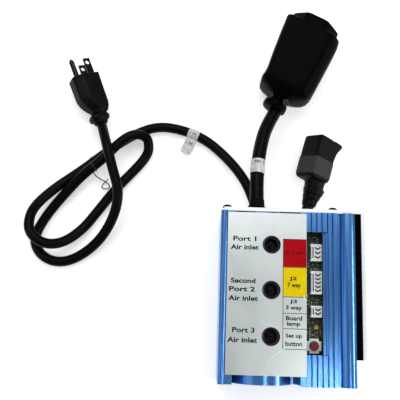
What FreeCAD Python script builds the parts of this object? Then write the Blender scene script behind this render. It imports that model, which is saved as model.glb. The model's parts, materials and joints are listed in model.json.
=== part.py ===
"""Control box of a jetted bath, lying on its back with its leads laid out beside it.

+X is to the right of the label, +Y runs towards the leads and +Z stands out of the label.
The origin is the centre of the housing's flat back. Millimetres.
"""

import FreeCAD
import Part
import Sketcher
import math
import os
import re

Vector = FreeCAD.Vector
Rotation = FreeCAD.Rotation
Placement = FreeCAD.Placement
Z_AXIS = Vector(0, 0, 1)
ALONG_X = Rotation(Vector(0, 1, 0), 90)
ALONG_Y = Rotation(Vector(1, 0, 0), -90)

# ---------------------------------------------------------------- driving dimensions

SIZES = {
    # housing: its outline is drawn in X and Z, and runs along Y
    "half_width": 55.5,
    "top_end": 70,
    "bottom_end": -70,
    "cap_thick": 1.5,
    "height": 55,
    "wall": 2,
    "label_seat": 53,
    "bead_width": 5.7,
    "bead_radius": 2.9,
    "bead_drop": 2.6,
    "shoulder_right": -44,
    "tube_x": -19.2,
    "tube_z": 28,
    "tube_radius": 25,
    "groove_floor": 34,
    "box_left": 10.5,
    "flute_left": 15.4,
    "flute_top": 54,
    "flute_half": 0.6,
    "flute_deep": 0.8,
    "valley_left": 40.5,
    "valley_floor": 50,
    "column_left": 44.2,
    "column_radius": 7,
    "column_drop": 2.87,
    "low_room_top": 31,
    "board_room_top": 52,
    "side_room_top": 48,
    "side_room_left": 35,
    "rib_left": 33,
    "rib_bottom": 40.6,
    "bead_room_right": -46,
    "bead_room_top": 51,
    "rail_deep": 2,
    "rail_thick": 1.5,
    "boss_radius": 4,
    "boss_hole": 1.7,
    "boss_left": -50.3,
    "boss_upper": 48,
    "boss_middle": 38,
    "boss_right": 50.3,
    "boss_lower": 5.2,
    # window onto the upper board
    "window_low": -45.5,
    "window_high": 53.5,
    # printed faceplate
    "label_left": -49.6,
    "label_right": 15.2,
    "label_low": -62.5,
    "label_high": 68.5,
    "label_thick": 1,
    "label_hole": 7.5,
    # air-switch ports
    "port_x": -13.5,
    "port_first": 42,
    "port_pitch": 37,
    "port_hole": 7,
    # end bracket and its pad
    "bracket_thick": 3,
    "plate_left": -53,
    "plate_low": 0.5,
    "plate_high": 52.4,
    "flange_left": 60.7,
    "flange_low": -48.5,
    "bend_outer": 5,
    "flange_hole": 2.75,
    "flange_hole_mid": 10,
    "flange_hole_gap": 80,
    "flange_hole_z": 26,
    "pad_low": 3,
    "pad_high": 50.5,
    # pan-head screws
    "screw_clear": 2,
    "screw_head": 4,
    "screw_head_tall": 2.6,
    "screw_shank": 1.65,
    "screw_long": 12,
    "countersink": 1.4,
    # lead exits through the end plate
    "power_x": -25,
    "power_z": 17,
    "power_radius": 4.5,
    "outlet_x": -25,
    "outlet_z": 39,
    "outlet_radius": 6,
    "light_x": 20,
    "light_z": 20,
    "light_radius": 6,
    "bush_lip": 2,
    "bush_inside": 9,
    "bush_nose": 7,
    # mains plug, along its own +Y from the lead to its face
    "plug_x": -166.5,
    "plug_y": 154.5,
    "plug_z": 14.7,
    "plug_neck_radius": 6.5,
    "plug_neck": 13,
    "plug_taper": 12,
    "plug_long": 47,
    "plug_wide": 27,
    "plug_tall": 25,
    "plug_round": 8,
    "blade_x": 5,
    "blade_eye": 2,
    "blade_wide": 6.35,
    "blade_thick": 1.55,
    "blade_long": 17,
    "blade_gap": 12.7,
    "pin_radius": 2.4,
    "pin_long": 20.6,
    "pin_drop": 11.9,
    # pump socket, along its own +Y from the lead to its face
    "pump_x": -8.2,
    "pump_y": 167.5,
    "pump_z": 24.2,
    "clamp_long": 14,
    "clamp_wide": 23,
    "clamp_tall": 24,
    "shell_shift": -2.5,
    "shell_rear": 44,
    "shell_rear_tall": 38,
    "shell_long": 56,
    "shell_wide": 52,
    "shell_tall": 46,
    "shell_round": 9,
    "face_long": 17,
    "face_wide": 54,
    "face_tall": 48,
    # light socket, along its own +Y from the plate to its face
    "neck_long": 30,
    "neck_radius": 8.5,
    "neck_rear": 5,
    "socket_long": 39,
    "socket_shift": -2.5,
    "socket_wide": 24,
    "socket_tall": 22,
    "socket_round": 6,
    # contacts behind a socket's slots
    "slot_x": -2.5,
    "slot_gap": 6.35,
    "slot_rise": 5,
    "slot_wide": 2.4,
    "slot_tall": 7.4,
    "slot_deep": 14,
    "earth_hole": 2.7,
    "earth_drop": 11.9,
    "contact_thick": 0.6,
    # upper board
    "board_left": 12.9,
    "board_right": 52.9,
    "board_low": -66,
    "board_high": 64,
    "board_z": 38.4,
    "board_thick": 1.6,
    "header_x": 24.5,
    "header_wide": 8.6,
    "header_tall": 7,
    "header_wall": 1.1,
    "pin_pitch": 2.5,
    "pin_half": 0.32,
    "pin_tall": 5.6,
    "tact_x": 22.6,
    "tact_y": -38.4,
    "tact_side": 12,
    "tact_tall": 4.3,
    "button_radius": 3.5,
    "button_stem": 4,
    "button_tall": 3.2,
    "button_travel": 0.5,
    "led_x": 25,
    "led_y": -23.5,
    # lower board
    "power_board_z": 8,
    "power_board_left": -40,
    "power_board_right": 44,
    "power_board_low": -64,
    "power_board_high": 58,
    "standoff_radius": 3,
    "transformer_x": 6,
    "transformer_y": -58,
    "transformer_wide": 30,
    "transformer_long": 40,
    "transformer_tall": 21,
    "relay_x": 8,
    "relay_y": -15,
    "relay_pitch": 16,
    "relay_long": 29,
    "relay_wide": 12.7,
    "relay_tall": 15.7,
    "fuse_x": 10,
    "fuse_y": 36,
    "fuse_z": 14,
    "fuse_radius": 2.6,
    "fuse_long": 20,
    "block_x": 6,
    "block_y": 42,
    "block_long": 30,
    "block_wide": 12,
    "block_tall": 12,
    "lug_x": -41,
    "lug_y": 30,
    "lug_radius": 4,
    "lug_thick": 0.8,
    # air switch: centred on its port, standing on the lower board
    "air_radius": 15,
    "air_base_low": 21,
    "air_base_high": 27,
    "air_top": 36,
    "membrane_thick": 0.8,
    "air_wall": 2,
    "nozzle_foot": 4.5,
    "nozzle_foot_tall": 4,
    "nozzle_radius": 2,
    "nozzle_tip": 1.6,
    "nozzle_lead_in": 1,
    "nozzle_bore": 1.1,
    "nozzle_top": 50,
    "rod_radius": 2,
    "rod_gap": 0.05,
    "rod_low": 20.3,
    "disc_radius": 11,
    "disc_thick": 1.5,
}

doc = FreeCAD.newDocument("bath_control_box")
nodes = {}


def make_sheet():
    """The spreadsheet of driving dimensions, one alias a row."""
    made = doc.addObject("Spreadsheet::Sheet", "Sizes")
    for row, (alias, size) in enumerate(SIZES.items(), start=1):
        made.set(f"A{row}", alias)
        made.set(f"B{row}", str(size))
        made.setAlias(f"B{row}", alias)
    doc.recompute()
    return made


sheet = make_sheet()


def formula(text):
    """A formula over the sheet's names, as an expression that the document follows."""
    return re.sub(r"[a-z_]+", lambda m: "Sizes." + m[0] if m[0] in SIZES else m[0], str(text))


def number(text):
    """What a formula comes to now."""
    found = sheet.evalExpression(formula(text))
    return float(getattr(found, "Value", found))


def bind(thing, prop, text):
    thing.setExpression(prop, formula(text))


def keep(name, thing):
    """Names a finished sub-part, which is written to a file of that name."""
    thing.Label = name
    nodes[name] = thing
    return thing


# ---------------------------------------------------------------- solids from primitives


def place(thing, at):
    for axis, text in zip("xyz", at):
        bind(thing, "Placement.Base." + axis, text)
    return thing


def box(name, at, size):
    """A box from its lowest corner and its three sides."""
    made = doc.addObject("Part::Box", name)
    for prop, text in zip(("Length", "Width", "Height"), size):
        bind(made, prop, text)
    return place(made, at)


def cylinder(name, at, radius, tall, turn=None):
    """A cylinder standing on a point, along +Z unless it is turned."""
    made = doc.addObject("Part::Cylinder", name)
    if turn:
        made.Placement = Placement(Vector(), turn)
    bind(made, "Radius", radius)
    bind(made, "Height", tall)
    return place(made, at)


def cone(name, at, radius, end_radius, tall, turn=None):
    """A cone or a tapered round bar standing on a point, along +Z unless it is turned."""
    made = doc.addObject("Part::Cone", name)
    if turn:
        made.Placement = Placement(Vector(), turn)
    bind(made, "Radius1", radius)
    bind(made, "Radius2", end_radius)
    bind(made, "Height", tall)
    return place(made, at)


def fuse(name, *things):
    made = doc.addObject("Part::MultiFuse", name)
    made.Shapes = list(things)
    made.Refine = True
    return made


def cut(name, base, *tools):
    made = doc.addObject("Part::Cut", name)
    made.Base = base
    made.Tool = tools[0] if len(tools) == 1 else fuse(name + "_tools", *tools)
    made.Refine = True
    return made


def group(name, things):
    """Several separate solids in one sub-part."""
    made = doc.addObject("Part::Compound", name)
    made.Links = list(things)
    return made


# ---------------------------------------------------------------- solids from sketches


def new_body(name):
    return doc.addObject("PartDesign::Body", name)


def sketch(body, name, plane, offset="0"):
    """A sketch on one of the body's own origin planes, moved along that plane's normal."""
    made = body.newObject("Sketcher::SketchObject", name)
    made.AttachmentSupport = [(next(f for f in body.Origin.OriginFeatures if f.Role == plane), "")]
    made.MapMode = "FlatFace"
    bind(made, "AttachmentOffset.Base.z", offset)
    return made


def pin_down(made, edge, point, x, y):
    """Fixes one point of a sketch by two formulas."""
    for kind, text in (("DistanceX", x), ("DistanceY", y)):
        i = made.addConstraint(Sketcher.Constraint(kind, -1, 1, edge, point, number(text)))
        bind(made, f"Constraints[{i}]", text)


def set_radius(made, edge, radius):
    i = made.addConstraint(Sketcher.Constraint("Radius", edge, number(radius)))
    bind(made, f"Constraints[{i}]", radius)


def circle(made, x, y, radius):
    edge = made.addGeometry(Part.Circle(Vector(number(x), number(y), 0), Z_AXIS, number(radius)))
    pin_down(made, edge, 3, x, y)
    set_radius(made, edge, radius)


def arc_between(start, end, radius):
    """An arc that bulges to the left of the way from start to end."""
    chord = end - start
    half = chord.Length / 2
    right = Vector(chord.y, -chord.x, 0).normalize()
    centre = (start + end) / 2 + right * math.sqrt(max(radius**2 - half**2, 0))
    angles = [math.atan2(p.y - centre.y, p.x - centre.x) for p in (end, start)]
    return Part.ArcOfCircle(Part.Circle(centre, Z_AXIS, radius), *angles)


def outline(made, corners):
    """A closed outline through corners given clockwise. A corner is (x, y), or (x, y, radius)
    where an arc that bulges outwards runs on to the next corner."""
    points = [Vector(number(c[0]), number(c[1]), 0) for c in corners]
    ends = []
    for i, corner in enumerate(corners):
        start, end = points[i], points[(i + 1) % len(points)]
        if len(corner) == 3:
            edge = made.addGeometry(arc_between(start, end, number(corner[2])))
            ends.append((edge, 2, 1))
            set_radius(made, edge, corner[2])
        else:
            edge = made.addGeometry(Part.LineSegment(start, end))
            ends.append((edge, 1, 2))
    for i, corner in enumerate(corners):
        edge, first, _ = ends[i]
        before, _, last = ends[i - 1]
        made.addConstraint(Sketcher.Constraint("Coincident", before, last, edge, first))
        pin_down(made, edge, first, corner[0], corner[1])


def rectangle(made, left, low, right, high):
    outline(made, [(left, low), (left, high), (right, high), (right, low)])


def pad(body, made, length, flip=False):
    """Raises a sketch along its normal. On an XZ plane the normal is -Y."""
    feature = body.newObject("PartDesign::Pad", made.Name + "_pad")
    feature.Profile = made
    feature.Reversed = flip
    bind(feature, "Length", length)
    doc.recompute()
    return feature


def pocket(body, made, length, flip=False):
    """Sinks a sketch against its normal, and makes sure that it cuts something."""
    before = body.Shape.Volume
    feature = body.newObject("PartDesign::Pocket", made.Name + "_pocket")
    feature.Profile = made
    feature.Reversed = flip
    bind(feature, "Length", length)
    doc.recompute()
    if body.Shape.Volume > before - 0.01:
        raise RuntimeError(f"{feature.Name} cuts nothing")
    return feature


def loft(body, *sections):
    feature = body.newObject("PartDesign::AdditiveLoft", sections[0].Name + "_loft")
    feature.Profile = sections[0]
    feature.Sections = list(sections[1:])
    feature.Ruled = True
    doc.recompute()
    return feature


def rounded(made, wide, tall, radius, shift="0"):
    """A rectangle with round corners, centred on the sketch's origin or shifted along its x."""
    y, r = f"({tall}) / 2", f"({radius})"
    left, right = f"{shift} - ({wide}) / 2", f"{shift} + ({wide}) / 2"
    outline(made, [
        (left, f"0 - {y} + {r}"),
        (left, f"{y} - {r}", r),
        (f"{left} + {r}", y),
        (f"{right} - {r}", y, r),
        (right, f"{y} - {r}"),
        (right, f"0 - {y} + {r}", r),
        (f"{right} - {r}", f"0 - {y}"),
        (f"{left} + {r}", f"0 - {y}", r),
    ])  # fmt: skip


# ---------------------------------------------------------------- housing


def tube_height(x):
    """Height of the round front of the tube at x."""
    return f"tube_z + sqrt(tube_radius ^ 2 - (({x}) - tube_x) ^ 2)"


def tube_right():
    """Where the round front of the tube meets the groove's floor."""
    return "tube_x + sqrt(tube_radius ^ 2 - (groove_floor - tube_z) ^ 2)"


def housing_corners():
    """The extrusion's outline, clockwise in X and Z from the lower left corner."""
    bead_end = "bead_width - half_width"
    corners = [
        ("0 - half_width", "0"),
        ("0 - half_width", "height - bead_drop", "bead_radius"),
        (bead_end, "label_seat"),
        ("shoulder_right", "label_seat"),
        ("shoulder_right", tube_height("shoulder_right"), "tube_radius"),
        (tube_right(), "groove_floor"),
        ("box_left", "groove_floor"),
        ("box_left", "label_seat"),
        ("flute_left", "label_seat"),
        ("flute_left", "flute_top"),
    ]
    for x in (19.2, 23.7, 28.0, 32.5, 36.7):
        corners += [
            (f"{x} - flute_half", "flute_top"),
            (f"{x}", "flute_top - flute_deep"),
            (f"{x} + flute_half", "flute_top"),
        ]
    corners += [
        ("valley_left", "flute_top"),
        ("valley_left + 0.7", "valley_floor"),
        ("column_left - 1", "valley_floor"),
        ("column_left", "height - column_drop", "column_radius"),
        ("half_width", "height - column_drop"),
        ("half_width", "0"),
    ]
    return corners


def boss_places():
    return [
        ("boss_left", "boss_upper"),
        ("boss_middle", "boss_upper"),
        ("boss_left", "boss_lower"),
        ("boss_right", "boss_lower"),
    ]


def port_y(i):
    return f"port_first - {i} * port_pitch"


def port_circles(made, radius):
    for i in range(3):
        circle(made, "port_x", port_y(i), radius)


def make_extrusion():
    body = new_body("extrusion")
    length = "top_end - bottom_end - cap_thick"
    start = "0 - top_end"
    profile = sketch(body, "housing_outline", "XZ_Plane", start)
    outline(profile, housing_corners())
    pad(body, profile, length)
    inner = "half_width - wall"
    rooms = [
        ("low_room", f"0 - ({inner})", "wall", inner, "low_room_top"),
        ("board_room", "box_left + wall", "low_room_top - 1", "rib_left", "board_room_top"),
        ("side_room", "side_room_left", "low_room_top - 1", inner, "side_room_top"),
        ("under_rib", "rib_left - 1", "low_room_top - 1", "side_room_left + 1", "rib_bottom"),
        ("bead_room", f"0 - ({inner})", "low_room_top - 1", "bead_room_right", "bead_room_top"),
    ]
    for name, left, low, right, high in rooms:
        room = sketch(body, name, "XZ_Plane", start)
        rectangle(room, left, low, right, high)
        pocket(body, room, length, flip=True)
    tube_room = sketch(body, "tube_room", "XZ_Plane", start)
    circle(tube_room, "tube_x", "tube_z", "tube_radius - wall")
    pocket(body, tube_room, length, flip=True)
    for i, (x, z) in enumerate(boss_places()):
        boss = sketch(body, f"boss_{i + 1}", "XZ_Plane", start)
        circle(boss, x, z, "boss_radius")
        pad(body, boss, length)
        hole = sketch(body, f"boss_hole_{i + 1}", "XZ_Plane", start)
        circle(hole, x, z, "boss_hole")
        pocket(body, hole, length, flip=True)
    top = "board_z + board_thick"
    for side, left, right in (
        ("left", "box_left + wall - 0.5", "box_left + wall + rail_deep"),
        ("right", f"{inner} - rail_deep", f"{inner} + 0.5"),
    ):
        for name, low in (("under", "board_z - 0.1 - rail_thick"), ("over", f"{top} + 0.1")):
            rail = sketch(body, f"rail_{name}_{side}", "XZ_Plane", start)
            rectangle(rail, left, low, right, f"{low} + rail_thick")
            pad(body, rail, length)
    window = sketch(body, "window", "XY_Plane", "height + 1")
    rectangle(window, "flute_left", "window_low", "rib_left", "window_high")
    pocket(body, window, "height + 1 - board_room_top + 0.5")
    ports = sketch(body, "port_holes", "XY_Plane", "height + 1")
    port_circles(ports, "port_hole")
    pocket(body, ports, "10")
    earth = sketch(body, "earth_hole_ring", "XY_Plane", "wall")
    circle(earth, "lug_x", "lug_y", "1.55")
    pocket(body, earth, "wall")
    return keep("extrusion", body)


def make_bottom_cap():
    """A flat cap over the far end, flush with the extrusion, held by countersunk screws."""
    body = new_body("bottom_cap")
    edge = "0 - bottom_end - cap_thick"
    profile = sketch(body, "cap_outline", "XZ_Plane", edge)
    outline(profile, housing_corners())
    pad(body, profile, "cap_thick")
    screws = []
    for i, (x, z) in enumerate(boss_places()):
        hole = sketch(body, f"cap_hole_{i + 1}", "XZ_Plane", edge)
        circle(hole, x, z, "screw_clear + countersink")
        pocket(body, hole, "cap_thick", flip=True)
        head = cylinder(f"cap_screw_head_{i + 1}", (x, "bottom_end", z), "screw_clear + countersink - 0.05",
                        "cap_thick", ALONG_Y)  # fmt: skip
        shank = cylinder(f"cap_screw_shank_{i + 1}", (x, "bottom_end + cap_thick", z), "screw_shank",
                         "screw_long - cap_thick", ALONG_Y)  # fmt: skip
        screws.append(fuse(f"cap_screw_{i + 1}", head, shank))
    keep("bottom_cap", body)
    keep("cap_screws", group("cap_screws", screws))


def make_faceplate():
    body = new_body("faceplate")
    plate = sketch(body, "label_outline", "XY_Plane", "label_seat")
    rectangle(plate, "label_left", "label_low", "label_right", "label_high")
    port_circles(plate, "label_hole")
    pad(body, plate, "label_thick")
    return keep("faceplate", body)


def make_end_bracket():
    """The L-shaped silver bracket: end plate and side flange in one piece."""
    body = new_body("end_bracket")
    outer = "flange_left + bracket_thick"
    far = "top_end + bracket_thick"
    shape = sketch(body, "bracket_outline", "XY_Plane", "plate_low")
    outline(shape, [
        ("plate_left", "top_end"),
        ("plate_left", far),
        (f"{outer} - bend_outer", far, "bend_outer"),
        (outer, f"{far} - bend_outer"),
        (outer, "flange_low"),
        ("flange_left", "flange_low"),
        ("flange_left", "top_end"),
    ])  # fmt: skip
    pad(body, shape, "plate_high - plate_low")
    holes = [(x, z, "screw_clear + 0.1") for x, z in boss_places()]
    holes += [
        ("power_x", "power_z", "power_radius + 2"),
        ("outlet_x", "outlet_z", "outlet_radius + 0.8"),
        ("light_x", "light_z", "light_radius"),
    ]
    drilled = sketch(body, "plate_holes", "XZ_Plane", f"0 - ({far})")
    for x, z, radius in holes:
        circle(drilled, x, z, radius)
    pocket(body, drilled, "bracket_thick", flip=True)
    mounts = sketch(body, "flange_holes", "YZ_Plane", outer)
    for side in ("-", "+"):
        circle(mounts, f"flange_hole_mid {side} flange_hole_gap / 2", "flange_hole_z", "flange_hole")
    pocket(body, mounts, "bracket_thick")
    return keep("end_bracket", body)


def make_side_pad():
    pad_box = box("side_pad_block", ("half_width", "flange_low", "pad_low"),
                  ("flange_left - half_width", "top_end - flange_low", "pad_high - pad_low"))  # fmt: skip
    holes = [
        cylinder(f"pad_hole_{side}", ("half_width", f"flange_hole_mid {side} flange_hole_gap / 2",
                 "flange_hole_z"), "flange_hole + 1.5", "flange_left - half_width", ALONG_X)
        for side in ("-", "+")
    ]  # fmt: skip
    return keep("side_pad", cut("side_pad", pad_box, *holes))


def make_plate_screws():
    screws = []
    face = "top_end + bracket_thick"
    for i, (x, z) in enumerate(boss_places()):
        head = cylinder(f"plate_screw_head_{i + 1}", (x, face, z), "screw_head", "screw_head_tall", ALONG_Y)
        shank = cylinder(f"plate_screw_shank_{i + 1}", (x, f"{face} - screw_long", z), "screw_shank",
                         "screw_long", ALONG_Y)  # fmt: skip
        screws.append(fuse(f"plate_screw_{i + 1}", head, shank))
    keep("plate_screws", group("plate_screws", screws))


def make_bushing(name, x, z, radius, nose_radius="0", nose="0"):
    """A strain-relief bushing: a barrel through the plate, a lip outside it and a tapered nose."""
    face = "top_end + bracket_thick"
    pieces = [
        cylinder(name + "_barrel", (x, f"{face} - bush_inside - bracket_thick", z), radius,
                 "bush_inside + bracket_thick", ALONG_Y),
        cylinder(name + "_lip", (x, face, z), f"{radius} + 2", "bush_lip", ALONG_Y),
    ]  # fmt: skip
    if number(nose):
        pieces.append(cone(name + "_nose", (x, f"{face} + bush_lip", z), radius, nose_radius, nose, ALONG_Y))
    return keep(name, fuse(name, *pieces))


# ---------------------------------------------------------------- leads

# Where each lead runs, from its bushing to its connector: X, Y and the height of its centre.
POWER_ROUTE = [
    (-25, 82, 17),
    (-30.1, 97.4, 15),
    (-39.3, 114.1, 9),
    (-53.3, 130.6, 5.4),
    (-71, 145, 5.4),
    (-92.3, 153.5, 5.4),
    (-115, 156.5, 5.4),
    (-137, 147.9, 5.4),
    (-161.5, 130.1, 5.4),
    (-184.2, 111.2, 5.4),
    (-205.6, 95, 7),
    (-220, 78.1, 14),
    (-223.9, 65.3, 21),
    (-222.7, 51, 23),
    (-210.7, 41.2, 21),
    (-195.5, 42.6, 13),
    (-179.5, 56.4, 5),
    (-166, 75, 4.6),
    (-151, 96, 4.6),
    (-136.7, 111.8, 4.6),
    (-129, 121, 4.6),
    (-124.6, 127.8, 4.8),
    (-122.3, 133.8, 6.5),
    (-124, 144.2, 10.5),
    (-135.4, 146, 14.8),
    (-147.6, 138.3, 15),
    (-162.3, 122, 14),
    (-181, 106, 12.6),
    (-198, 88, 7),
    (-213, 69, 4.6),
    (-222.7, 49, 4.6),
    (-217.5, 35.2, 4.6),
    (-204.7, 27.4, 4.6),
    (-189.5, 28, 4.6),
    (-172.4, 37.8, 6),
    (-158, 52.6, 11),
    (-148.2, 71.4, 19),
    (-145.8, 90, 23),
    (-151.8, 107.8, 24),
    (-156.9, 124.9, 25.5),
    (-161.5, 140, 22.5),
    (-166.5, 154.5, 14.7),
]
TAG_RUN = 4
TIE_RUNS = (8, 26)

OUTLET_ROUTE = [
    (-25, 82, 39),
    (-25.2, 92, 38.4),
    (-24.9, 104.5, 37.4),
    (-23.8, 118.7, 35.2),
    (-21.4, 134, 32),
    (-16.6, 152, 27.8),
    (-8.2, 167.5, 24.2),
]
SLEEVE_RUN = 2

PLUG_TURN = 23
PLUG_ROLL = 30
OUTLET_TURN = -26
LIGHT_TURN = -14.5
LIGHT_ROLL = 24


def rounded_path(points):
    """Straight runs through the points, joined by arcs as large as the runs allow."""
    corners = [Vector(*p) for p in points]
    radii = []
    edges = []
    last = corners[0]
    for before, corner, after in zip(corners, corners[1:], corners[2:]):
        into, out = (corner - before).normalize(), (after - corner).normalize()
        turn = into.getAngle(out)
        reach = 0.45 * min((corner - before).Length, (after - corner).Length)
        radius = reach / math.tan(turn / 2)
        start, end = corner - into * reach, corner + out * reach
        bulge = radius / math.cos(turn / 2) - radius
        middle = corner + (out - into).normalize() * bulge
        edges.append(Part.LineSegment(last, start).toShape())
        edges.append(Part.Arc(start, middle, end).toShape())
        radii.append(radius)
        last = end
    edges.append(Part.LineSegment(last, corners[-1]).toShape())
    return Part.Wire(edges), radii


def keep_shape(name, shape):
    made = doc.addObject("Part::Feature", name)
    made.Shape = shape
    return keep(name, made)


def cord_tube(name, points, radius):
    """A round lead along its route. Its volume is compared with its section times its length."""
    path, radii = rounded_path(points)
    heading = Vector(*points[1]) - Vector(*points[0])
    section = Part.Wire(Part.Circle(Vector(*points[0]), heading, radius).toShape())
    solid = path.makePipeShell([section], True, False)
    expected = math.pi * radius**2 * path.Length
    if abs(solid.Volume / expected - 1) > 0.01:
        raise RuntimeError(f"{name}: volume {solid.Volume:.0f}, expected {expected:.0f}")
    print(f"{name}: length {path.Length:.1f}, radii " + " ".join(f"{r:.0f}" for r in radii))
    return keep_shape(name, solid)


def run_middle(route, i):
    """The middle of a route's run i, and the run's direction."""
    start, end = Vector(*route[i]), Vector(*route[i + 1])
    return (start + end) / 2, (end - start).normalize()


def band(middle, along, inner, thick, wide):
    """A band round a lead."""
    low = middle - along * (wide / 2)
    outer = Part.makeCylinder(inner + thick, wide, low, along)
    return outer.cut(Part.makeCylinder(inner, wide, low, along))


def make_tags():
    """The folded flag tag on the mains lead, and the wrapped label on the pump lead."""
    middle, along = run_middle(POWER_ROUTE, TAG_RUN)
    wrap = band(middle, along, number("power_radius"), 0.5, 10)
    flag = Part.makeBox(10, 13, 0.5, Vector(-5, number("power_radius") + 0.2, -0.25))
    turn = math.degrees(math.atan2(along.y, along.x))
    flag.Placement = Placement(middle, Rotation(Z_AXIS, turn))
    keep_shape("flag_tag", wrap.fuse(flag).removeSplitter())
    middle, along = run_middle(OUTLET_ROUTE, SLEEVE_RUN)
    keep_shape("sleeve_label", band(middle, along, number("outlet_radius"), 0.4, 12.8))


def make_twist_tie():
    """A thin wire tie round two strands, one of which rests on the other's side."""
    (first, along), (second, _) = [run_middle(POWER_ROUTE, i) for i in TIE_RUNS]
    across = first - second
    across = (across - along * across.dot(along)).normalize()
    gap = (first - second).dot(across)
    middle = first - across * (gap / 2)
    half = abs(gap) / 2
    reach = number("power_radius") + 0.9
    near, far = middle - across * half, middle + across * half
    up = along.cross(across).normalize() * reach
    ring = Part.Wire([
        Part.LineSegment(near + up, far + up).toShape(),
        Part.Arc(far + up, far + across * reach, far - up).toShape(),
        Part.LineSegment(far - up, near - up).toShape(),
        Part.Arc(near - up, near - across * reach, near + up).toShape(),
    ])  # fmt: skip
    section = Part.Wire(Part.Circle(near + up, across, 0.35).toShape())
    keep_shape("twist_tie", ring.makePipeShell([section], True, False))


def settle(thing, at, turn, roll=0):
    """Rolls a piece built along +Y about that axis, turns it about the vertical and places it."""
    thing.Placement = Placement(Vector(), Rotation(Z_AXIS, turn).multiply(Rotation(Vector(0, 1, 0), roll)))
    return place(thing, at)


def section_at(body, name, y):
    """A sketch across a piece built along +Y, at distance y from its lead end."""
    return sketch(body, name, "XZ_Plane", f"0 - ({y})")


def make_plug():
    at = ("plug_x", "plug_y", "plug_z")
    body = new_body("plug_body")
    neck = section_at(body, "plug_neck_round", "0")
    circle(neck, "0", "0", "plug_neck_radius")
    pad(body, neck, "plug_neck", flip=True)
    rear = section_at(body, "plug_rear", "plug_neck")
    rounded(rear, "plug_neck_radius * 2", "plug_neck_radius * 2", "plug_neck_radius - 1")
    front = section_at(body, "plug_front", "plug_neck + plug_taper")
    rounded(front, "plug_wide", "plug_tall", "plug_round")
    loft(body, rear, front)
    block = section_at(body, "plug_block", "plug_neck + plug_taper")
    rounded(block, "plug_wide", "plug_tall", "plug_round")
    pad(body, block, "plug_long - plug_neck - plug_taper", flip=True)
    keep("plug_body", settle(body, at, PLUG_TURN, PLUG_ROLL))
    blades = []
    for i, side in enumerate((-1, 1)):
        middle = f"{side} * blade_gap / 2"
        low = ("blade_x - blade_wide / 2", "plug_long", f"{middle} - blade_thick / 2")
        blade = box(f"blade_{i + 1}", low, ("blade_wide", "blade_long", "blade_thick"))
        eye = cylinder(f"blade_eye_{i + 1}", ("blade_x", "plug_long + blade_long - 4.3",
                       f"{middle} - blade_thick"), "blade_eye", "blade_thick * 2")  # fmt: skip
        blades.append(cut(f"blade_cut_{i + 1}", blade, eye))
    keep("plug_blades", settle(group("plug_blades", blades), at, PLUG_TURN, PLUG_ROLL))
    straight = cylinder("pin_straight", ("blade_x - pin_drop", "plug_long", "0"), "pin_radius",
                        "pin_long - pin_radius", ALONG_Y)  # fmt: skip
    tip = cone("pin_tip", ("blade_x - pin_drop", "plug_long + pin_long - pin_radius", "0"), "pin_radius",
               "pin_radius / 2.5", "pin_radius", ALONG_Y)  # fmt: skip
    keep("plug_ground_pin", settle(fuse("plug_ground_pin", straight, tip), at, PLUG_TURN, PLUG_ROLL))


def cut_slots(body, name, face):
    """Two blade slots and an earth hole, sunk into a socket's face at distance face."""
    made = section_at(body, name + "_slots", face)
    for side in (-1, 1):
        x = f"slot_x + {side} * slot_gap"
        rectangle(made, f"{x} - slot_wide / 2", "slot_rise - slot_tall / 2",
                  f"{x} + slot_wide / 2", "slot_rise + slot_tall / 2")  # fmt: skip
    circle(made, "slot_x", "slot_rise - earth_drop", "earth_hole")
    pocket(body, made, "slot_deep", flip=True)


def socket_contacts(name, face):
    """A spring leaf beside each blade slot, and a sleeve in the earth hole."""
    low = f"{face} - slot_deep"
    leaves = [
        box(f"{name}_leaf_{i + 1}", (f"slot_x + {side} * slot_gap - slot_wide / 2", low, "slot_rise - 3"),
            ("contact_thick", "slot_deep - 3", "6"))
        for i, side in enumerate((-1, 1))
    ]  # fmt: skip
    at = ("slot_x", low, "slot_rise - earth_drop")
    sleeve = cylinder(name + "_sleeve_outer", at, "earth_hole", "slot_deep - 3", ALONG_Y)
    bore = cylinder(name + "_sleeve_inner", at, "earth_hole - contact_thick / 2", "slot_deep - 3", ALONG_Y)
    return group(name, [*leaves, cut(name + "_sleeve", sleeve, bore)])


def make_outlet():
    """The large socket on the pump lead: cord clamp and shell, face, contacts and clamp screws."""
    at = ("pump_x", "pump_y", "pump_z")
    body = new_body("outlet_housing")
    clamp = section_at(body, "outlet_clamp", "0")
    rounded(clamp, "clamp_wide", "clamp_tall", "6", "shell_shift")
    pad(body, clamp, "clamp_long", flip=True)
    rear = section_at(body, "outlet_rear", "clamp_long")
    rounded(rear, "shell_rear", "shell_rear_tall", "shell_round")
    front = section_at(body, "outlet_front", "clamp_long + shell_long")
    rounded(front, "shell_wide", "shell_tall", "shell_round", "shell_shift")
    loft(body, rear, front)
    keep("outlet_housing", settle(body, at, OUTLET_TURN))
    face = "clamp_long + shell_long + face_long"
    front_body = new_body("outlet_face")
    rim = section_at(front_body, "outlet_rim", "clamp_long + shell_long")
    rounded(rim, "face_wide", "face_tall", "shell_round", "shell_shift")
    pad(front_body, rim, "face_long", flip=True)
    cut_slots(front_body, "outlet", face)
    keep("outlet_face", settle(front_body, at, OUTLET_TURN))
    keep("outlet_contacts", settle(socket_contacts("outlet_contacts", face), at, OUTLET_TURN))
    screws = [
        cylinder(f"clamp_screw_{i + 1}", (f"shell_shift + {side} * 8", "clamp_long / 2", "clamp_tall / 2"),
                 "3", "2")
        for i, side in enumerate((-1, 1))
    ]  # fmt: skip
    keep("outlet_clamp_screws", settle(group("outlet_clamp_screws", screws), at, OUTLET_TURN))


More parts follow.
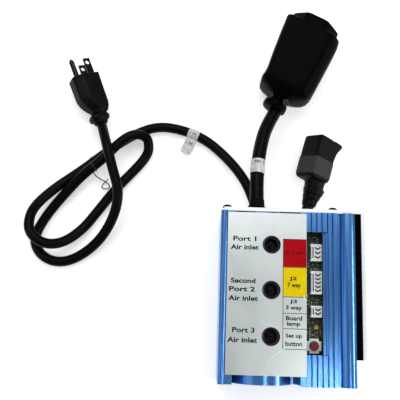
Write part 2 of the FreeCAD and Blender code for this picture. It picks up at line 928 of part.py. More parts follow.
def make_light_socket():
    """The small moulded socket, whose stepped neck comes straight out of its bushing."""
    at = ("light_x", "top_end + bracket_thick + bush_lip", "light_z")
    body = new_body("light_socket")
    start = section_at(body, "neck_start", "0")
    rounded(start, "neck_rear * 2", "neck_rear * 2", "neck_rear - 1")
    end = section_at(body, "neck_end", "neck_long")
    rounded(end, "neck_radius * 2", "neck_radius * 2", "neck_radius - 2")
    loft(body, start, end)
    block = section_at(body, "socket_block", "neck_long")
    rounded(block, "socket_wide", "socket_tall", "socket_round", "socket_shift")
    pad(body, block, "socket_long", flip=True)
    face = "neck_long + socket_long"
    cut_slots(body, "light", face)
    keep("light_socket", settle(body, at, LIGHT_TURN, LIGHT_ROLL))
    keep("light_contacts", settle(socket_contacts("light_contacts", face), at, LIGHT_TURN, LIGHT_ROLL))


# ---------------------------------------------------------------- upper board


def make_headers():
    """Three white pin headers in a row. Each has a length and a middle along Y, and some pins."""
    floor = "board_z + board_thick"
    pins = []
    for name, long, y, count in (
        ("display_header", 13.9, 37.4, 5),
        ("light_header", 18.9, 12.6, 7),
        ("sensor_header", 9.3, -10.9, 3),
    ):
        low = f"{y} - {long} / 2"
        block = box(name + "_block", ("header_x - header_wide / 2", low, floor),
                    ("header_wide", str(long), "header_tall"))  # fmt: skip
        room = box(name + "_room", ("header_x - header_wide / 2 + 3 * header_wall",
                   f"{low} + header_wall", f"{floor} + 1.5"), ("header_wide - 4 * header_wall",
                   f"{long} - 2 * header_wall", "header_tall"))  # fmt: skip
        keep(name, cut(name, block, room))
        pins += [
            box(f"{name}_pin_{i + 1}", ("header_x + header_wall - pin_half",
                f"{y} + ({i} - {count - 1} / 2) * pin_pitch - pin_half", f"{floor} + 1.5"),
                ("pin_half * 2", "pin_half * 2", "pin_tall - 1.5"))
            for i in range(count)
        ]  # fmt: skip
    keep("header_pins", group("header_pins", pins))


def make_config_switch():
    """A square push switch whose round button stands in a hole in its top."""
    floor = "board_z + board_thick"
    base = box("tact_block", ("tact_x - tact_side / 2", "tact_y - tact_side / 2", floor),
               ("tact_side", "tact_side", "tact_tall"))  # fmt: skip
    hole = cylinder("tact_hole", ("tact_x", "tact_y", f"{floor} + 0.8"), "button_stem / 2 + rod_gap",
                    "tact_tall")  # fmt: skip
    keep("config_switch", cut("config_switch", base, hole))
    stem = cylinder("button_stem_bar", ("tact_x", "tact_y", f"{floor} + 1.5"), "button_stem / 2",
                    "tact_tall - 0.5")  # fmt: skip
    head = cylinder("button_head", ("tact_x", "tact_y", f"{floor} + tact_tall + button_travel + 0.1"),
                    "button_radius", "button_tall")  # fmt: skip
    keep("config_button", fuse("config_button", stem, head))


def make_upper_board():
    keep("control_board", box("control_board", ("board_left", "board_low", "board_z"),
         ("board_right - board_left", "board_high - board_low", "board_thick")))  # fmt: skip
    make_headers()
    make_config_switch()
    lamp = cylinder("led_body", ("led_x", "led_y", "board_z + board_thick"), "1.5", "2.5")
    flange = cylinder("led_flange", ("led_x", "led_y", "board_z + board_thick"), "1.9", "0.8")
    keep("power_led", fuse("power_led", lamp, flange))


# ---------------------------------------------------------------- lower board


def make_lower_board():
    top = "power_board_z + board_thick"
    corners = [
        (x, y)
        for x in ("power_board_left + 4", "power_board_right - 3.5")
        for y in ("power_board_low + 4", "power_board_high - 4")
    ]
    plate = box("power_board_plate", ("power_board_left", "power_board_low", "power_board_z"),
                ("power_board_right - power_board_left", "power_board_high - power_board_low",
                 "board_thick"))  # fmt: skip
    holes, posts, screws = [], [], []
    for i, (x, y) in enumerate(corners):
        holes.append(cylinder(f"board_hole_{i + 1}", (x, y, "power_board_z - 1"), "1.6", "board_thick + 2"))
        post = cylinder(f"post_{i + 1}", (x, y, "wall"), "standoff_radius", "power_board_z - wall")
        bore = cylinder(f"post_bore_{i + 1}", (x, y, "wall + 0.6"), "1.3", "power_board_z")
        posts.append(cut(f"standoff_{i + 1}", post, bore))
        head = cylinder(f"board_screw_head_{i + 1}", (x, y, top), "2.6", "1.6")
        shank = cylinder(f"board_screw_shank_{i + 1}", (x, y, f"{top} - 6"), "1.25", "6")
        screws.append(fuse(f"board_screw_{i + 1}", head, shank))
    keep("power_board", cut("power_board", plate, *holes))
    keep("board_standoffs", group("board_standoffs", posts))
    keep("board_screws", group("board_screws", screws))


def make_power_parts():
    """Transformer, relays, fuse with its clips, terminal block and earth connection."""
    top = "power_board_z + board_thick"
    core = box("transformer_core", ("transformer_x", "transformer_y", f"{top}"),
               ("transformer_wide", "transformer_long", "transformer_tall - 6"))  # fmt: skip
    coil = box("transformer_coil", ("transformer_x + 3", "transformer_y + 7", f"{top}"),
               ("transformer_wide - 6", "transformer_long - 14", "transformer_tall"))  # fmt: skip
    keep("transformer", fuse("transformer", core, coil))
    for i in range(3):
        name = f"relay_{i + 1}"
        keep(name, box(name, ("relay_x", f"relay_y + {i} * relay_pitch", top),
                       ("relay_long", "relay_wide", "relay_tall")))  # fmt: skip
    fuse_at = ("fuse_x", "fuse_y", "fuse_z")
    keep("fuse", cylinder("fuse", fuse_at, "fuse_radius", "fuse_long", ALONG_X))
    clips = []
    for i, x in enumerate(("fuse_x + 1", "fuse_x + fuse_long - 5")):
        block = box(f"clip_block_{i + 1}", (x, "fuse_y - fuse_radius - 0.8", top),
                    ("4", "2 * fuse_radius + 1.6", f"fuse_z - ({top}) + 1.5"))  # fmt: skip
        seat = cylinder(f"clip_seat_{i + 1}", fuse_at, "fuse_radius", "fuse_long", ALONG_X)
        clips.append(cut(f"clip_{i + 1}", block, seat))
    keep("fuse_clips", group("fuse_clips", clips))
    block = box("terminal_body", ("block_x", "block_y", top), ("block_long", "block_wide", "block_tall"))
    wells = [
        cylinder(f"terminal_well_{i + 1}", (f"block_x + {i} * 5 + 2.5", "block_y + block_wide / 2",
                 f"{top} + block_tall - 5"), "1.9", "6")
        for i in range(6)
    ]  # fmt: skip
    keep("terminal_block", cut("terminal_block", block, *wells))
    ring = cylinder("lug_ring", ("lug_x", "lug_y", "wall"), "lug_radius", "lug_thick")
    tab = box("lug_tab", ("lug_x - 2.5", "lug_y - 14", "wall"), ("5", "14", "lug_thick"))
    bore = cylinder("lug_bore", ("lug_x", "lug_y", "wall - 1"), "1.6", "lug_thick + 2")
    keep("earth_lug", cut("earth_lug", fuse("lug_blank", ring, tab), bore))
    head = cylinder("earth_head", ("lug_x", "lug_y", "wall + lug_thick"), "3.2", "2.2")
    shank = cylinder("earth_shank", ("lug_x", "lug_y", "0.2"), "1.5", "wall + lug_thick")
    keep("earth_screw", fuse("earth_screw", head, shank))


# ---------------------------------------------------------------- air switches


def make_air_switch(i):
    """A pneumatic switch under a port: cap with nozzle, membrane, base, plunger and microswitch."""
    n = i + 1
    x, y = "port_x", port_y(i)
    top = "power_board_z + board_thick"
    cup = cylinder(f"base_cup_{n}", (x, y, "air_base_low"), "air_radius", "air_base_high - air_base_low")
    room = cylinder(f"base_room_{n}", (x, y, "air_base_low + air_wall"), "air_radius - air_wall",
                    "air_base_high - air_base_low")  # fmt: skip
    rod_hole = cylinder(f"base_hole_{n}", (x, y, "air_base_low - 1"), "rod_radius + rod_gap", "10")
    legs = [
        box(f"base_leg_{n}_{k + 1}", (f"{x} - 3", f"{y} + {side} - 1.5", top),
            ("6", "3", f"air_base_low - ({top})"))
        for k, side in enumerate((-11, 11))
    ]  # fmt: skip
    shell = cut(f"base_shell_{n}", cup, room, rod_hole)
    keep(f"air_base_{n}", fuse(f"air_base_{n}", shell, *legs))
    membrane = f"diaphragm_{n}"
    keep(membrane, cylinder(membrane, (x, y, "air_base_high"), "air_radius", "membrane_thick"))
    low = "air_base_high + membrane_thick"
    dome = cylinder(f"cap_dome_{n}", (x, y, low), "air_radius", f"air_top - ({low})")
    foot = cylinder(f"cap_foot_{n}", (x, y, "air_top"), "nozzle_foot", "nozzle_foot_tall")
    pipe_top = "nozzle_top - nozzle_lead_in"
    pipe = cylinder(f"cap_pipe_{n}", (x, y, "air_top"), "nozzle_radius", f"{pipe_top} - air_top")
    tip = cone(f"cap_tip_{n}", (x, y, pipe_top), "nozzle_radius", "nozzle_tip", "nozzle_lead_in")
    void = cylinder(f"cap_void_{n}", (x, y, f"{low} - 1"), "air_radius - air_wall",
                    f"air_top - air_wall - ({low}) + 1")  # fmt: skip
    bore = cylinder(f"cap_bore_{n}", (x, y, low), "nozzle_bore", "30")
    keep(f"air_cap_{n}", cut(f"air_cap_{n}", fuse(f"cap_blank_{n}", dome, foot, pipe, tip), void, bore))
    disc_low = "air_base_high - 0.3 - disc_thick"
    disc = cylinder(f"plunger_disc_{n}", (x, y, disc_low), "disc_radius", "disc_thick")
    rod = cylinder(f"plunger_rod_{n}", (x, y, "rod_low"), "rod_radius", f"{disc_low} - rod_low")
    keep(f"plunger_{n}", fuse(f"plunger_{n}", disc, rod))
    case = box(f"micro_case_{n}", (f"{x} - 10", f"{y} - 3.2", top), ("20", "6.4", "8.8"))
    knob = cylinder(f"micro_knob_{n}", (x, y, top), "1.2", "9.4")
    keep(f"microswitch_{n}", fuse(f"microswitch_{n}", case, knob))


# ---------------------------------------------------------------- the whole box


def check_and_write():
    """Stops if anything failed to build, then writes one file for each sub-part."""
    doc.recompute()
    for thing in doc.Objects:
        if {"Invalid", "Error"} & set(thing.State):
            raise RuntimeError(f"{thing.Name} failed: {thing.State}")
    os.makedirs("parts", exist_ok=True)
    for name, thing in nodes.items():
        shape = thing.Shape
        if shape.isNull() or not shape.isValid() or not shape.Solids:
            raise RuntimeError(f"{name} has no valid solid")
        shape.exportStep(f"parts/{name}.step")
    print(f"{len(nodes)} sub-parts written")


make_extrusion()
make_bottom_cap()
make_faceplate()
make_end_bracket()
make_side_pad()
make_plate_screws()
make_bushing("power_bushing", "power_x", "power_z", "power_radius + 2", "power_radius + 1", "bush_nose")
make_bushing("outlet_bushing", "outlet_x", "outlet_z", "outlet_radius + 0.8", "outlet_radius + 0.4", "bush_nose")
make_bushing("light_bushing", "light_x", "light_z", "light_radius")
cord_tube("power_cord", POWER_ROUTE, number("power_radius"))
cord_tube("outlet_cord", OUTLET_ROUTE, number("outlet_radius"))
make_tags()
make_twist_tie()
make_plug()
make_outlet()
make_light_socket()
make_upper_board()
make_lower_board()
make_power_parts()
for switch in range(3):
    make_air_switch(switch)
check_and_write()
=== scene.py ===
"""Looks of the jetted-bath control box and its leads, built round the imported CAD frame.

+X is to the right of the label, +Y towards the leads and +Z out of the label.
"""

import json
import math
import random

import bmesh
import bpy
from mathutils import Matrix, Vector


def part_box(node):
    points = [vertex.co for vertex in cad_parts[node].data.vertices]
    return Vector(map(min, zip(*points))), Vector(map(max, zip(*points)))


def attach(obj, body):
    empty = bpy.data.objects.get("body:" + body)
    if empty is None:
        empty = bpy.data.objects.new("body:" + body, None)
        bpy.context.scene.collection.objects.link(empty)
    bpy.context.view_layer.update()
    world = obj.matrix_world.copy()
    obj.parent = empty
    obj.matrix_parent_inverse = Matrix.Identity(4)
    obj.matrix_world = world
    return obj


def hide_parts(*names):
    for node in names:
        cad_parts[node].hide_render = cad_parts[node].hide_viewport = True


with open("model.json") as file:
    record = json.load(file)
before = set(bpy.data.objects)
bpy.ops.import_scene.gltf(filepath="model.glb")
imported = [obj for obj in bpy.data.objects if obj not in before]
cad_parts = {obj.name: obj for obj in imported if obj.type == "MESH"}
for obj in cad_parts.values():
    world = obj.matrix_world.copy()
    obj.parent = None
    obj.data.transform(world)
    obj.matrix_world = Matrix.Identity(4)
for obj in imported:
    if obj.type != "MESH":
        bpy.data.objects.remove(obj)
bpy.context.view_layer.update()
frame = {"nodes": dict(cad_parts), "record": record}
rng = random.Random(5)

MM = 0.001
UP = Vector((0, 0, 1))
HOUSING = "housing"

# ---------------------------------------------------------------- materials


def colour(red, green, blue):
    """A linear colour from the usual 0 to 255 values."""
    parts = [c / 255 for c in (red, green, blue)]
    return [((part + 0.055) / 1.055) ** 2.4 if part > 10 / 255 else part / 12.92 for part in parts] + [1]


def surface(name, dark, light, rough, metallic=0.0, size=3, stretch=(1, 1, 1), bump=0.15, grain=0.4,
            spread=0.08, coat=0.0, specular=0.5, ior=1.5):
    """A procedural surface. Noise of the given size in mm, stretched along each axis, moves its colour
    between dark and light and its roughness by spread. Finer noise of size grain raises it by bump."""
    made = bpy.data.materials.new(name)
    made.use_nodes = True
    nodes, links = made.node_tree.nodes, made.node_tree.links
    shader = nodes["Principled BSDF"]
    shader.inputs["Metallic"].default_value = metallic
    shader.inputs["Coat Weight"].default_value = coat
    shader.inputs["Coat Roughness"].default_value = 0.15
    shader.inputs["Specular IOR Level"].default_value = specular
    shader.inputs["IOR"].default_value = ior
    place = nodes.new("ShaderNodeTexCoord")

    def noise(length, detail):
        mapping = nodes.new("ShaderNodeMapping")
        mapping.inputs["Scale"].default_value = [1 / (length * MM * s) for s in stretch]
        texture = nodes.new("ShaderNodeTexNoise")
        texture.inputs["Scale"].default_value = 1
        texture.inputs["Detail"].default_value = detail
        links.new(place.outputs["Object"], mapping.inputs["Vector"])
        links.new(mapping.outputs["Vector"], texture.inputs["Vector"])
        return texture.outputs["Fac"]

    broad, fine = noise(size, 5), noise(grain, 3)
    ramp = nodes.new("ShaderNodeValToRGB")
    for stop, place_at, shade in zip(ramp.color_ramp.elements, (0.3, 0.7), (dark, light)):
        stop.position = place_at
        stop.color = shade
    links.new(broad, ramp.inputs["Fac"])
    links.new(ramp.outputs["Color"], shader.inputs["Base Color"])
    ranged = nodes.new("ShaderNodeMapRange")
    ranged.inputs["To Min"].default_value = max(rough - spread, 0.03)
    ranged.inputs["To Max"].default_value = rough + spread
    links.new(broad, ranged.inputs["Value"])
    links.new(ranged.outputs["Result"], shader.inputs["Roughness"])
    raised = nodes.new("ShaderNodeBump")
    raised.inputs["Strength"].default_value = bump
    raised.inputs["Distance"].default_value = 0.2 * MM
    links.new(fine, raised.inputs["Height"])
    links.new(raised.outputs["Normal"], shader.inputs["Normal"])
    return made


LOOKS = {
    "anodised_blue": surface("blue_anodised", colour(54, 106, 168), colour(80, 136, 200), 0.19, metallic=0.6,
                             size=1.2, stretch=(1, 40, 1), bump=0.08, grain=0.25, spread=0.06),
    "anodised_silver": surface("silver_anodised", colour(218, 219, 220), colour(238, 239, 239), 0.36,
                               metallic=0.55, size=0.9, stretch=(30, 1, 1), bump=0.02, grain=0.2,
                               spread=0.04),
    "steel": surface("black_oxide_steel", colour(26, 26, 27), colour(58, 58, 58), 0.3, metallic=0.8,
                     size=0.8),
    "faceplate": surface("label_film", colour(194, 201, 199), colour(203, 210, 208), 0.32, metallic=0.85,
                         size=25, bump=0.05, grain=0.5, spread=0.05, coat=0.15),
    "pad": surface("foam_rubber", colour(2, 2, 3), colour(7, 7, 8), 0.85, size=1, bump=0.5, grain=0.4,
                   specular=0.1, ior=1.15),
    "bushing": surface("black_nylon", colour(4, 4, 5), colour(12, 12, 13), 0.5, size=2, specular=0.4,
                       ior=1.15),
    "cord": surface("cord_jacket", colour(1, 2, 3), colour(4, 6, 8), 0.34, size=4, bump=0.12, grain=0.6,
                    specular=0.5, ior=1.16),
    "connector": surface("moulded_vinyl", colour(3, 5, 5), colour(9, 13, 13), 0.42, size=3, bump=0.3,
                         grain=0.35, specular=0.5, ior=1.18),
    "pump_vinyl": surface("black_vinyl", colour(1, 1, 2), colour(3, 4, 5), 0.42, size=3, bump=0.3,
                          grain=0.35, specular=0.5, ior=1.1),
    "nickel": surface("nickel_plate", colour(26, 26, 24), colour(52, 50, 46), 0.26, metallic=1, size=1.2),
    "brass": surface("brass", colour(150, 118, 56), colour(205, 168, 92), 0.3, metallic=1, size=1.2),
    "tag": surface("tag_film", colour(176, 176, 172), colour(224, 224, 219), 0.35, size=2.6, coat=0.2),
    "tie": surface("tie_wire", colour(12, 12, 12), colour(34, 34, 32), 0.4, size=1),
    "circuit_board": surface("solder_mask", colour(20, 36, 20), colour(74, 82, 44), 0.5, size=1.5, bump=0.3,
                             grain=0.5, specular=0.25),
    "header": surface("white_nylon", colour(244, 246, 242), colour(252, 253, 250), 0.42, size=1.5),
    "switch_black": surface("switch_black", colour(9, 9, 10), colour(22, 20, 20), 0.45, size=1.5,
                            specular=0.25),
    "button_maroon": surface("button_maroon", colour(92, 20, 26), colour(140, 48, 52), 0.45, size=1.2,
                             specular=0.2),
    "lamp": surface("lamp_lens", colour(150, 120, 50), colour(200, 170, 90), 0.15, size=1, coat=0.5),
    "membrane": surface("membrane_rubber", colour(28, 28, 28), colour(44, 44, 44), 0.6),
    "rod": surface("acetal", colour(205, 205, 196), colour(228, 228, 220), 0.4),
    "lamination": surface("varnished_steel", colour(50, 48, 46), colour(84, 80, 74), 0.4, metallic=0.6,
                          size=0.7, stretch=(1, 20, 20)),
    "relay_case": surface("relay_case", colour(20, 44, 110), colour(34, 62, 140), 0.3, coat=0.2),
    "fuse_glass": surface("fuse_glass", colour(200, 214, 214), colour(230, 240, 240), 0.08, coat=0.5),
    "terminal_green": surface("terminal_green", colour(24, 110, 60), colour(40, 140, 84), 0.4),
    "ink": surface("black_ink", colour(14, 14, 16), colour(26, 26, 28), 0.5, size=2, bump=0.05, specular=0.1),
    "red_ink": surface("red_ink", colour(162, 0, 14), colour(176, 2, 20), 0.4, size=8, bump=0.05,
                       specular=0.06),
    "dark_red_ink": surface("dark_red_ink", colour(84, 2, 10), colour(98, 6, 14), 0.5, size=2, bump=0.05,
                            specular=0.06),
    "yellow_ink": surface("yellow_ink", colour(220, 194, 0), colour(232, 208, 8), 0.4, size=8, bump=0.05,
                          specular=0.06),
    # Lighter than the label film: painted highlight along the creases.
    "film": surface("crease_film_painted_highlight", colour(226, 230, 230), colour(240, 242, 242), 0.12, size=2, bump=0.1,
                    coat=0.6),
    "clamp_steel": surface("clamp_steel", colour(8, 8, 8), colour(20, 20, 20), 0.5, metallic=0.5, size=0.8),
    # Lighter grey than the connectors: painted reflection on the light socket's band.
    "painted_reflection_band": surface("matt_band_painted_reflection", colour(34, 36, 33), colour(56, 58, 54), 0.7, size=1.4, bump=0.6, grain=0.3,
                    specular=0.3),
    # Also laid in the headers as painted shade between the pins.
    "chip": surface("black_epoxy_and_painted_shade", colour(12, 12, 13), colour(30, 30, 30), 0.5, size=0.6),
    "solder": surface("solder", colour(140, 142, 138), colour(200, 202, 198), 0.3, metallic=0.9, size=0.5),
    "silkscreen": surface("silkscreen", colour(190, 194, 182), colour(216, 218, 208), 0.6, size=1),
    "brown_rubber": surface("brown_rubber", colour(40, 12, 10), colour(84, 26, 20), 0.45, size=1),
}
OWN_LOOK = {"outlet_clamp_screws": "clamp_steel"}
for part in frame["record"]["subparts"]:
    node = frame["nodes"][part["node"]]
    node.data.materials.clear()
    node.data.materials.append(LOOKS[OWN_LOOK.get(part["node"], part["material_slot"])])

# ---------------------------------------------------------------- mesh helpers


def in_scene(name, data):
    """A new object of the scene with the given data."""
    made = bpy.data.objects.new(name, data)
    bpy.context.scene.collection.objects.link(made)
    return made


def shown_mesh(thing):
    """A new mesh of what an object shows, with its modifiers applied."""
    seen = thing.evaluated_get(bpy.context.evaluated_depsgraph_get())
    return bpy.data.meshes.new_from_object(seen)


def finish_mesh(name, mesh, look, angle=35, bevel=0.0):
    """Turns a bmesh into a piece that rides on the housing, smooth up to an angle, with an optional bevel in
    mm."""
    bmesh.ops.recalc_face_normals(mesh, faces=mesh.faces)
    data = bpy.data.meshes.new(name)
    mesh.to_mesh(data)
    mesh.free()
    data.materials.append(LOOKS[look])
    data.shade_smooth()
    data.set_sharp_from_angle(angle=math.radians(angle))
    piece = in_scene(name, data)
    if bevel:
        soften(piece, bevel)
    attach(piece, HOUSING)
    return piece


def soften(piece, width):
    """Rounds a piece's sharp edges with a modifier. Width is in mm."""
    made = piece.modifiers.new("round_edges", "BEVEL")
    made.width = width * MM
    made.segments = 2
    made.limit_method = "ANGLE"
    made.angle_limit = math.radians(40)
    made.harden_normals = True


def settled(at, turn, roll=0):
    """Where a piece built along +Y lies: rolled about that axis, turned about the vertical, and moved to a
    point in metres."""
    turned = Matrix.Rotation(math.radians(turn), 4, "Z") @ Matrix.Rotation(math.radians(roll), 4, "Y")
    return Matrix.Translation(Vector(at)) @ turned


def moved(x, y, z):
    """A move by a distance in mm."""
    return Matrix.Translation(Vector((x, y, z)) * MM)


def standing(x, y):
    """A place in mm where what is built along +Y stands along +Z."""
    return moved(x, y, 0) @ Matrix.Rotation(math.radians(90), 4, "X")


def angles(steps):
    """The directions of the points of a circle."""
    return [2 * math.pi * i / steps for i in range(steps)]


AROUND = 72


def section(y, walls, sharp, shift=(0, 0)):
    """A ring of points across a piece built along +Y, in mm. Its walls are (direction, distance) pairs, and
    the higher sharp is, the tighter the corners where they meet: 2 makes an ellipse of four walls."""
    ring = []
    for a in angles(AROUND):
        total = 0
        for direction, distance in walls:
            facing = math.cos(a - math.radians(direction))
            if facing > 0:
                total += (facing / distance) ** sharp
        reach = total ** (-1 / sharp)
        ring.append(Vector((shift[0] + reach * math.cos(a), y, shift[1] + reach * math.sin(a))) * MM)
    return ring


def oblong(wide, tall):
    """Four walls of a width and height."""
    return [(0, wide / 2), (90, tall / 2), (180, wide / 2), (270, tall / 2)]


def chamfered(left, right, tall, chamfer):
    """Four walls at distances from the axis, and four slanted ones that cut their corners."""
    slants = [(turn, (across + tall - chamfer) / math.sqrt(2))
              for turn, across in ((45, right), (135, left), (225, left), (315, right))]
    return [(0, right), (90, tall), (180, left), (270, tall), *slants]


def loft(mesh, rings, matrix=Matrix(), capped=True):
    """Joins rings of points into a skin, closed at both ends if it is capped."""
    rows = [[mesh.verts.new(matrix @ p) for p in ring] for ring in rings]
    for low, high in zip(rows, rows[1:]):
        for i in range(len(low)):
            j = (i + 1) % len(low)
            mesh.faces.new((low[i], low[j], high[j], high[i]))
    if capped:
        mesh.faces.new(rows[0])
        mesh.faces.new(rows[-1])


def block(mesh, low, high, matrix=Matrix()):
    """A box between two corners, in mm."""
    made = bmesh.ops.create_cube(mesh, size=1)["verts"]
    low, high = Vector(low) * MM, Vector(high) * MM
    for v in made:
        v.co = matrix @ Vector([(lo + hi) / 2 + c * (hi - lo) for lo, hi, c in zip(low, high, v.co)])


def carved(base, tool):
    """One bmesh cut out of another."""
    things = []
    for mesh in (base, tool):
        bmesh.ops.recalc_face_normals(mesh, faces=mesh.faces)
        data = bpy.data.meshes.new("carving")
        mesh.to_mesh(data)
        mesh.free()
        things.append(in_scene("carving", data))
    cut = things[0].modifiers.new("cut", "BOOLEAN")
    cut.operation, cut.solver, cut.object = "DIFFERENCE", "EXACT", things[1]
    cut.use_self = True
    found = shown_mesh(things[0])
    made = bmesh.new()
    made.from_mesh(found)
    for thing in things:
        bpy.data.meshes.remove(thing.data)
    bpy.data.meshes.remove(found)
    return made


def lettering(mesh, text, middle, size, matrix=Matrix()):
    """Adds one line of print, centred on a point and stretched to a width and height. All are in mm."""
    font = bpy.data.curves.new("print", "FONT")
    font.body = text
    font.extrude = 0.02
    font.offset = 0.03
    font.resolution_u = 3
    thing = in_scene("print", font)
    found = shown_mesh(thing)
    xs, ys = [[v.co[k] for v in found.vertices] for k in (0, 1)]
    shift = Vector(((min(xs) + max(xs)) / 2, (min(ys) + max(ys)) / 2, 0))
    scale = (size[0] / (max(xs) - min(xs)), size[1] / (max(ys) - min(ys)), 1)
    for v in found.vertices:
        v.co = matrix @ ((Vector([c * s for c, s in zip(v.co - shift, scale)]) + Vector(middle)) * MM)
    mesh.from_mesh(found)
    bpy.data.objects.remove(thing)
    bpy.data.curves.remove(font)
    bpy.data.meshes.remove(found)


def revolve(mesh, profile, matrix=Matrix(), steps=40):
    """A turned shape about +Y, from (y, radius) pairs in mm."""
    loft(mesh, [[Vector((r * math.cos(a), y, r * math.sin(a))) * MM for a in angles(steps)]
                for y, r in profile], matrix)


def spline(name, points, radius, look, resolution=14):
    """A smooth round cord or wire that follows control points in mm, as a curve."""
    curve = bpy.data.curves.new(name, "CURVE")
    curve.dimensions = "3D"
    curve.resolution_u = resolution
    curve.bevel_depth = radius * MM
    curve.bevel_resolution = 8
    curve.use_fill_caps = True
    line = curve.splines.new("NURBS")
    line.points.add(len(points) - 1)
    for point, at in zip(line.points, points):
        point.co = [c * MM for c in at] + [1]
    line.order_u = 3
    line.use_endpoint_u = True
    curve.materials.append(LOOKS[look])
    piece = in_scene(name, curve)
    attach(piece, HOUSING)
    return piece


# ---------------------------------------------------------------- leads

# Points that each lead follows from its bushing to its connector, the same as the CAD's: X, Y and height.
POWER_ROUTE = [
    (-25, 82, 17),
    (-30.1, 97.4, 15),
    (-39.3, 114.1, 9),
    (-53.3, 130.6, 5.4),
    (-71, 145, 5.4),
    (-92.3, 153.5, 5.4),
    (-115, 156.5, 5.4),
    (-137, 147.9, 5.4),
    (-161.5, 130.1, 5.4),
    (-184.2, 111.2, 5.4),
    (-205.6, 95, 7),
    (-220, 78.1, 14),
    (-223.9, 65.3, 21),
    (-222.7, 51, 23),
    (-210.7, 41.2, 21),
    (-195.5, 42.6, 13),
    (-179.5, 56.4, 5),
    (-166, 75, 4.6),
    (-151, 96, 4.6),
    (-136.7, 111.8, 4.6),
    (-129, 121, 4.6),
    (-124.6, 127.8, 4.8),
    (-122.3, 133.8, 6.5),
    (-124, 144.2, 10.5),
    (-135.4, 146, 14.8),
    (-147.6, 138.3, 15),
    (-162.3, 122, 14),
    (-181, 106, 12.6),
    (-198, 88, 7),
    (-213, 69, 4.6),
    (-222.7, 49, 4.6),
    (-217.5, 35.2, 4.6),
    (-204.7, 27.4, 4.6),
    (-189.5, 28, 4.6),
    (-172.4, 37.8, 6),
    (-158, 52.6, 11),
    (-148.2, 71.4, 19),
    (-145.8, 90, 23),
    (-151.8, 107.8, 24),
    (-156.9, 124.9, 25.5),
    (-161.5, 140, 22.5),
    (-166.5, 154.5, 14.7),
]
OUTLET_ROUTE = [
    (-25, 82, 39),
    (-25.2, 92, 38.4),
    (-24.9, 104.5, 37.4),
    (-23.8, 118.7, 35.2),
    (-21.4, 134, 32),
    (-16.6, 152, 27.8),
    (-8.2, 167.5, 24.2),
]
POWER_RADIUS, OUTLET_RADIUS = 4.5, 6
FLAG_RUN, SLEEVE_RUN, TIED_RUNS = 4, 2, (8, 26)
PLUG_TURN, PLUG_ROLL = 23, 30
OUTLET_TURN = -26
LIGHT_TURN, LIGHT_ROLL = -14.5, 24

power_cord = spline("power_cord_line", POWER_ROUTE, POWER_RADIUS, "cord")
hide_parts("power_cord")
outlet_cord = spline("outlet_cord_line", OUTLET_ROUTE, OUTLET_RADIUS, "cord")
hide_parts("outlet_cord")

PLUG = settled([c * MM for c in POWER_ROUTE[-1]], PLUG_TURN, PLUG_ROLL)
OUTLET = settled([c * MM for c in OUTLET_ROUTE[-1]], OUTLET_TURN)
light_low, light_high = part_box("light_bushing")
LIGHT = settled(((light_low.x + light_high.x) / 2, light_high.y, (light_low.z + light_high.z) / 2),
                LIGHT_TURN, LIGHT_ROLL)

# The openings of a socket's face: two upright slots, and an earth hole under them.
SLOT_GAP, SLOT_WIDE, SLOT_TALL = 12.7, 2.4, 7.4
FACE_X, SLOT_Z, EARTH_Z, EARTH_RADIUS = -2.5, 5, -6.9, 2.7


def openings(start, end, matrix):
    """The shape of a socket's openings between two depths, to be cut from its face."""
    tool = bmesh.new()
    for side in (-1, 1):
        x = FACE_X + side * SLOT_GAP / 2
        block(tool, (x - SLOT_WIDE / 2, start, SLOT_Z - SLOT_TALL / 2),
              (x + SLOT_WIDE / 2, end, SLOT_Z + SLOT_TALL / 2), matrix)
    revolve(tool, [(start, EARTH_RADIUS), (end, EARTH_RADIUS)], matrix @ moved(FACE_X, 0, EARTH_Z))
    return tool


def make_plug():
    """A moulded plug: a lobed neck, a groove, and a body that is flat on its blade side."""
    def walls(right, tall, left, slant):
        return [(0, right), (90, tall), (270, tall), (180, left), (124.4, slant), (235.6, slant)]

    mesh = bmesh.new()
    loft(mesh, [
        section(-1, oblong(10.4, 10.4), 2),
        section(0, oblong(12.4, 12.4), 2),
        section(2, oblong(13.6, 13), 2.3),
        section(3.2, oblong(17, 14.6), 3),
        section(4.6, oblong(18, 15.4), 3.4),
        section(6.6, oblong(18, 15.4), 3.4),
        section(7.8, oblong(16.6, 14.2), 3),
        section(8.8, oblong(13.6, 12.4), 2.4),
        section(9.8, walls(8.4, 6.4, 6.2, 6.4), 5),
        section(10.8, walls(9.2, 7.2, 6.3, 6.5), 8),
        section(12.6, walls(9.5, 8.4, 6.5, 6.9), 12),
        section(13.4, walls(9.6, 9.2, 7.2, 7.7), 16),
        section(14.8, walls(9.7, 9.7, 8.4, 8.8), 20),
        section(17, walls(9.8, 10.2, 10.2, 10), 24),
        section(20, walls(9.8, 10.5, 12.2, 11.4), 28),
        section(24, walls(9.9, 10.7, 13.8, 12.4), 30),
        section(27, walls(9.9, 10.8, 14.2, 12.6), 30),
        section(46, walls(10.4, 11.6, 14.4, 12.8), 30),
        section(46.7, walls(10.1, 11.3, 14.1, 12.5), 30),
        section(47, walls(9.5, 10.7, 13.5, 11.9), 30),
    ], PLUG)
    shell = finish_mesh("plug_shell", mesh, "connector", angle=22)
    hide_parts("plug_body")
    return shell


